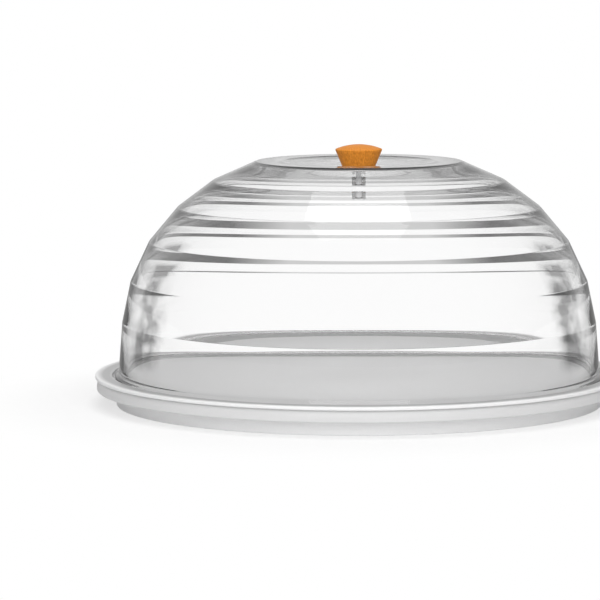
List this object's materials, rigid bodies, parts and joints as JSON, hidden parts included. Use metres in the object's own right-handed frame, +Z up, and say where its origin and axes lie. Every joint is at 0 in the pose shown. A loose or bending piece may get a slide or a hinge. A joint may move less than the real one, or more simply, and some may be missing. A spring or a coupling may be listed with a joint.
{
  "type": "cake stand with dome",
  "caption": "Round footed cake tray with a clear faceted lift-off dome, a shallow dished top and a turned wooden knob held by a screw through a clear boss.",
  "frame": {"origin": "middle of the foot ring, on the surface that the tray rests on", "axes": "+Z up along the axis of the tray, dome and knob; the stand is round, so X and Y are free"},
  "size_m": [0.33, 0.33, 0.1618],
  "materials": {
    "clear_plastic": "clear, polished, colourless",
    "knob_wood": "orange-brown stained wood, satin varnish",
    "screw_steel": "bright zinc-plated steel, satin",
    "washer_rubber": "dark grey, matt",
    "tray_plastic": "pale grey-white, semi-gloss moulding"
  },
  "bodies": {
    "tray": {"tray_plate": "tray_plastic", "tray_base": "tray_plastic"},
    "cover": {"dome": "clear_plastic", "knob": "knob_wood", "knob_screw": "screw_steel", "knob_washer": "washer_rubber"}
  },
  "joints": [
    {"name": "dome_lift", "type": "slide", "parent": "tray", "child": "cover", "axis": [0, 0, 1], "range_m": [0, 0.25]}
  ]
}
